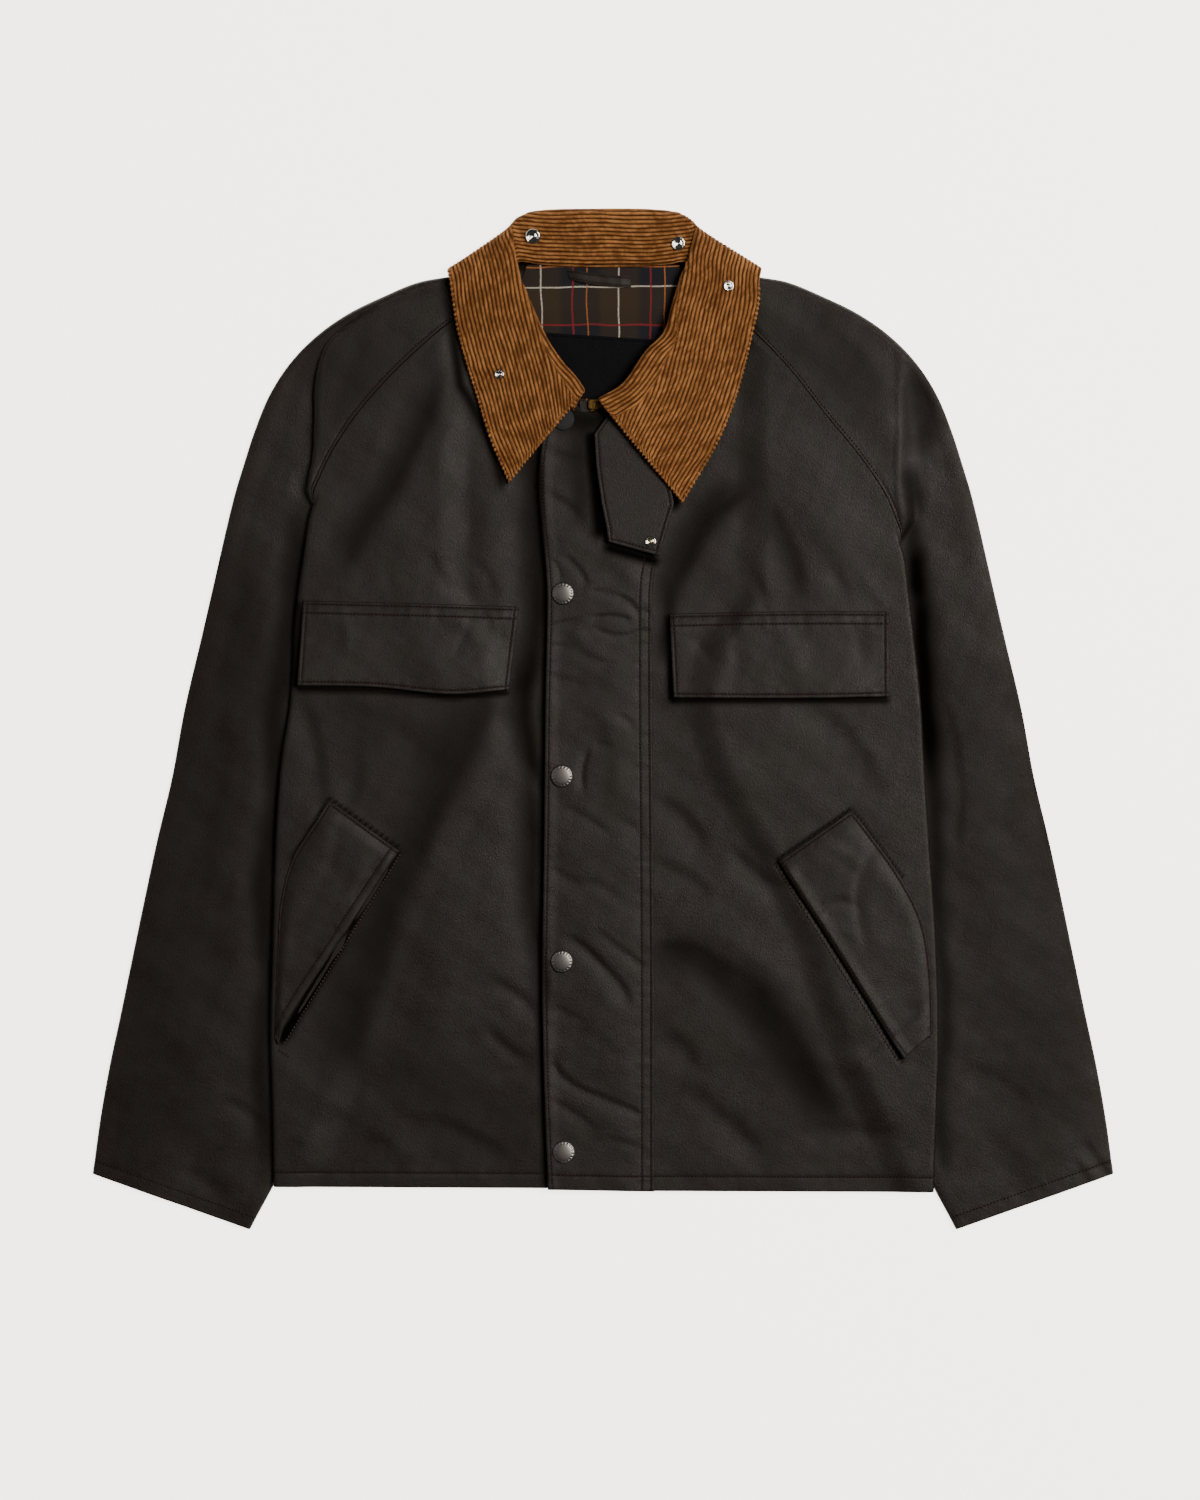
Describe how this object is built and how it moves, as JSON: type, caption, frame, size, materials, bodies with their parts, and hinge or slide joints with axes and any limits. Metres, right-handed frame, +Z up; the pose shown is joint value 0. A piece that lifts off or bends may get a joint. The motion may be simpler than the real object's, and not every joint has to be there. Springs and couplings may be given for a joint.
{
  "type": "waxed cotton jacket",
  "caption": "Waxed cotton raglan jacket laid out flat, with corduroy collar, storm fly with snaps, chest flaps and slanted pockets.",
  "frame": {"origin": "middle of the jacket's outline, on the surface it lies on", "axes": "+Z up from the surface, +Y towards the collar, +X towards the wearer's left"},
  "size_m": [0.765, 0.7646, 0.0195],
  "materials": {
    "shell": "waxed",
    "corduroy": "napped",
    "lining": "checked cotton",
    "label": "satin",
    "tape": "woven",
    "gunmetal": "dark",
    "nickel": "polished",
    "brass": "worn"
  },
  "bodies": {
    "root": {"back": "shell", "front_right": "shell", "front_left": "shell", "sleeve_right": "shell", "sleeve_left": "shell", "placket": "shell", "chest_flap_right": "shell", "chest_flap_left": "shell", "hand_pocket_right": "shell", "hand_pocket_left": "shell", "throat_tab": "shell", "hang_loop": "shell", "collar": "corduroy", "neck_lining": "lining", "neck_label": "label", "zip_tape": "tape", "zip_slider": "brass", "placket_snap_1": "gunmetal", "placket_snap_2": "gunmetal", "placket_snap_3": "gunmetal", "placket_snap_4": "gunmetal", "placket_snap_5": "gunmetal", "collar_stud_1": "nickel", "collar_stud_2": "nickel", "collar_stud_3": "nickel", "collar_stud_4": "nickel", "tab_stud": "nickel"}
  },
  "joints": []
}
